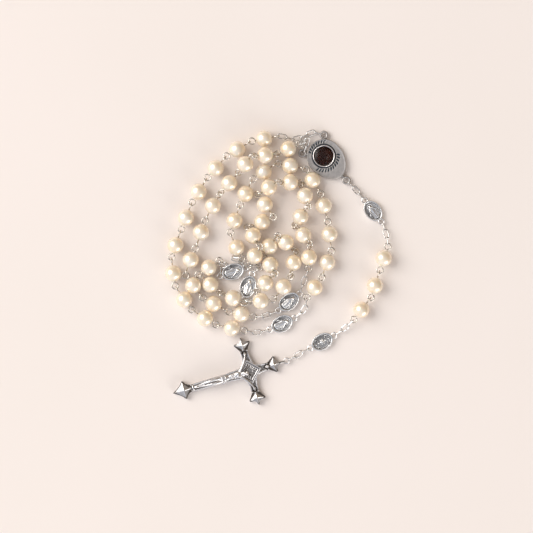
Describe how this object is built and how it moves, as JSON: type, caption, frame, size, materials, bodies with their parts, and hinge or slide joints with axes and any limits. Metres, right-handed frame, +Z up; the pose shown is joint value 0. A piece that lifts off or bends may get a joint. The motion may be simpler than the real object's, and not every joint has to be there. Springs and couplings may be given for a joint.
{
  "type": "rosary",
  "caption": "Wire-linked prayer beads laid in a loose pile: pearl decades, oval medals, inset centerpiece, and a pendant ending in a crucifix.",
  "frame": {"origin": "on the ground under the middle of the laid-out outline", "axes": "+Z up from the ground, +Y from the crucifix side towards the centerpiece side, +X to the right seen from above"},
  "size_m": [0.0826, 0.1006, 0.0097],
  "materials": {
    "pearl": "ivory pearl lustre",
    "eye_wire": "bright bent wire",
    "chain_wire": "bright bent wire",
    "medal_silver": "cast relief with darkened recesses",
    "plate_pewter": "matte antiqued pewter",
    "bezel_silver": "bright turned ring",
    "dark_fill": "dark brown fine grains",
    "dome_clear": "clear glossy dome",
    "crucifix_silver": "cast, antiqued, worn bright on its edges"
  },
  "bodies": {
    "pile": {"centerpiece_plate": "plate_pewter", "centerpiece_bezel": "bezel_silver", "centerpiece_soil_fill": "dark_fill", "centerpiece_dome": "dome_clear", "decade_1_pearls": "pearl", "decade_2_pearls": "pearl", "decade_3_pearls": "pearl", "decade_4_pearls": "pearl", "decade_5_pearls": "pearl", "decade_1_eye_pins": "eye_wire", "decade_2_eye_pins": "eye_wire", "decade_3_eye_pins": "eye_wire", "decade_4_eye_pins": "eye_wire", "decade_5_eye_pins": "eye_wire", "loop_medal_1": "medal_silver", "loop_medal_2": "medal_silver", "loop_medal_3": "medal_silver", "loop_medal_4": "medal_silver", "chain_centerpiece_to_decade_1": "chain_wire", "chain_decade_1_to_medal_1": "chain_wire", "chain_medal_1_to_decade_2": "chain_wire", "chain_decade_2_to_medal_2": "chain_wire", "chain_medal_2_to_decade_3": "chain_wire", "chain_decade_3_to_medal_3": "chain_wire", "chain_medal_3_to_decade_4": "chain_wire", "chain_decade_4_to_medal_4": "chain_wire", "chain_medal_4_to_decade_5": "chain_wire", "chain_decade_5_to_centerpiece": "chain_wire"},
    "pendant_link_1": {"pendant_link_1": "chain_wire"},
    "pendant_link_2": {"pendant_link_2": "chain_wire"},
    "pendant_link_3": {"pendant_link_3": "chain_wire"},
    "pendant_upper_medal": {"pendant_upper_medal": "medal_silver"},
    "pendant_link_4": {"pendant_link_4": "chain_wire"},
    "pendant_link_5": {"pendant_link_5": "chain_wire"},
    "pendant_link_6": {"pendant_link_6": "chain_wire"},
    "pendant_eye_pin_1": {"pendant_eye_pin_1": "eye_wire"},
    "pendant_eye_pin_2": {"pendant_eye_pin_2": "eye_wire"},
    "pendant_eye_pin_3": {"pendant_eye_pin_3": "eye_wire"},
    "pendant_link_7": {"pendant_link_7": "chain_wire"},
    "pendant_link_8": {"pendant_link_8": "chain_wire"},
    "pendant_link_9": {"pendant_link_9": "chain_wire"},
    "pendant_lower_medal": {"pendant_lower_medal": "medal_silver"},
    "pendant_link_10": {"pendant_link_10": "chain_wire"},
    "pendant_link_11": {"pendant_link_11": "chain_wire"},
    "pendant_link_12": {"pendant_link_12": "chain_wire"},
    "crucifix": {"crucifix_cross": "crucifix_silver", "crucifix_corpus": "crucifix_silver"},
    "pendant_pearl_1": {"pendant_pearl_1": "pearl"},
    "pendant_pearl_2": {"pendant_pearl_2": "pearl"},
    "pendant_pearl_3": {"pendant_pearl_3": "pearl"}
  },
  "joints": [
    {"name": "pendant_link_1_lift", "type": "hinge", "parent": "pile", "child": "pendant_link_1", "pos_m": [0.02572, 0.03084, 0.0012], "axis": [-0.7071, -0.7071, 0], "range_deg": [0, 25]},
    {"name": "pendant_link_2_swivel", "type": "hinge", "parent": "pendant_link_1", "child": "pendant_link_2", "pos_m": [0.0276, 0.02897, 0.0012], "axis": [0, 0, 1], "range_deg": [0, 20]},
    {"name": "pendant_link_3_lift", "type": "hinge", "parent": "pendant_link_2", "child": "pendant_link_3", "pos_m": [0.02947, 0.02688, 0.0012], "axis": [-0.766, -0.6428, 0], "range_deg": [0, 15]},
    {"name": "pendant_upper_medal_swivel", "type": "hinge", "parent": "pendant_link_3", "child": "pendant_upper_medal", "pos_m": [0.03125, 0.02473, 0.0012], "axis": [0, 0, 1], "range_deg": [0, 20]},
    {"name": "pendant_link_4_lift", "type": "hinge", "parent": "pendant_upper_medal", "child": "pendant_link_4", "pos_m": [0.03821, 0.01582, 0.0012], "axis": [-0.9397, -0.342, 0], "range_deg": [0, 15]},
    {"name": "pendant_link_5_swivel", "type": "hinge", "parent": "pendant_link_4", "child": "pendant_link_5", "pos_m": [0.03899, 0.01315, 0.0018], "axis": [0, 0, 1], "range_deg": [0, 20]},
    {"name": "pendant_link_6_swivel", "type": "hinge", "parent": "pendant_link_5", "child": "pendant_link_6", "pos_m": [0.03955, 0.01106, 0.0022], "axis": [0, 0, 1], "range_deg": [0, 20]},
    {"name": "pendant_eye_pin_1_swivel", "type": "hinge", "parent": "pendant_link_6", "child": "pendant_eye_pin_1", "pos_m": [0.03983, 0.00777, 0.003], "axis": [0, 0, 1], "range_deg": [0, 20]},
    {"name": "pendant_eye_pin_2_swivel", "type": "hinge", "parent": "pendant_eye_pin_1", "child": "pendant_eye_pin_2", "pos_m": [0.03687, -0.00136, 0.003], "axis": [0, 0, 1], "range_deg": [0, 20]},
    {"name": "pendant_eye_pin_3_swivel", "type": "hinge", "parent": "pendant_eye_pin_2", "child": "pendant_eye_pin_3", "pos_m": [0.03372, -0.01106, 0.003], "axis": [0, 0, 1], "range_deg": [0, 20]},
    {"name": "pendant_link_7_swivel", "type": "hinge", "parent": "pendant_eye_pin_3", "child": "pendant_link_7", "pos_m": [0.02744, -0.0191, 0.003], "axis": [0, 0, 1], "range_deg": [0, 20]},
    {"name": "pendant_link_8_swivel", "type": "hinge", "parent": "pendant_link_7", "child": "pendant_link_8", "pos_m": [0.02507, -0.02147, 0.0024], "axis": [0, 0, 1], "range_deg": [0, 20]},
    {"name": "pendant_link_9_lift", "type": "hinge", "parent": "pendant_link_8", "child": "pendant_link_9", "pos_m": [0.02301, -0.0232, 0.00164], "axis": [-0.5736, 0.8192, 0], "range_deg": [0, 15]},
    {"name": "pendant_lower_medal_swivel", "type": "hinge", "parent": "pendant_link_9", "child": "pendant_lower_medal", "pos_m": [0.02071, -0.02475, 0.0012], "axis": [0, 0, 1], "range_deg": [0, 20]},
    {"name": "pendant_link_10_lift", "type": "hinge", "parent": "pendant_lower_medal", "child": "pendant_link_10", "pos_m": [0.01073, -0.03005, 0.0012], "axis": [-0.454, 0.891, 0], "range_deg": [0, 15]},
    {"name": "pendant_link_11_swivel", "type": "hinge", "parent": "pendant_link_10", "child": "pendant_link_11", "pos_m": [0.00823, -0.03131, 0.0012], "axis": [0, 0, 1], "range_deg": [0, 20]},
    {"name": "pendant_link_12_lift", "type": "hinge", "parent": "pendant_link_11", "child": "pendant_link_12", "pos_m": [0.00581, -0.03271, 0.0012], "axis": [-0.5, 0.866, 0], "range_deg": [0, 20]},
    {"name": "crucifix_swivel", "type": "hinge", "parent": "pendant_link_12", "child": "crucifix", "pos_m": [0.00338, -0.03411, 0.0012], "axis": [0, 0, 1], "range_deg": [0, 60]},
    {"name": "pendant_pearl_1_spin", "type": "hinge", "parent": "pendant_eye_pin_1", "child": "pendant_pearl_1", "pos_m": [0.03835, 0.0032, 0.003], "axis": [-0.309, -0.9511, 0], "continuous": true},
    {"name": "pendant_pearl_2_spin", "type": "hinge", "parent": "pendant_eye_pin_2", "child": "pendant_pearl_2", "pos_m": [0.03511, -0.00678, 0.003], "axis": [-0.309, -0.9511, 0], "continuous": true},
    {"name": "pendant_pearl_3_spin", "type": "hinge", "parent": "pendant_eye_pin_3", "child": "pendant_pearl_3", "pos_m": [0.03021, -0.01555, 0.003], "axis": [-0.6157, -0.788, 0], "continuous": true}
  ]
}
